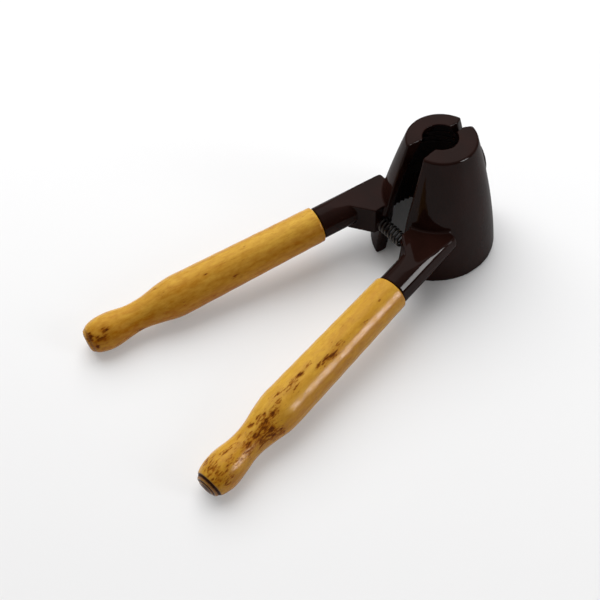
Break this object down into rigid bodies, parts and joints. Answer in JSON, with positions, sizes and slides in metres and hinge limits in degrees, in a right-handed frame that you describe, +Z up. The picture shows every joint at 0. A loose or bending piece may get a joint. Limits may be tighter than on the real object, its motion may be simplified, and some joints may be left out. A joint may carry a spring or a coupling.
{
  "type": "handheld nutcracker",
  "caption": "Handheld nutcracker: a bell-shaped head split into hinged jaws, a cast arm with a turned wooden handle on each jaw, and a coil spring that opens them.",
  "frame": {"origin": "middle of the footprint, on the table that the head's rim and the handles' ends rest on", "axes": "+Z up along the head's axis, +Y from the handles towards the hinge, +X towards the right jaw"},
  "size_m": [0.0972, 0.1806, 0.058],
  "materials": {
    "enamel": "glossy dark brown enamel",
    "wood": "golden lacquered wood with dark specks",
    "steel": "bare drawn steel",
    "spring_wire": "dark spring wire"
  },
  "bodies": {
    "right_side": {"right_jaw": "enamel", "right_tang": "steel", "right_handle": "wood", "hinge_pin": "steel", "return_spring": "spring_wire"},
    "left_side": {"left_jaw": "enamel", "left_tang": "steel", "left_handle": "wood"}
  },
  "joints": [
    {"name": "jaw_hinge", "type": "hinge", "parent": "right_side", "child": "left_side", "pos_m": [0, 0.08602, 0], "axis": [0, 0, 1], "range_deg": [0, 8], "stiffness_Nm_per_rad": 1.1, "springref_deg": -5.73, "deforming": ["return_spring"]}
  ]
}
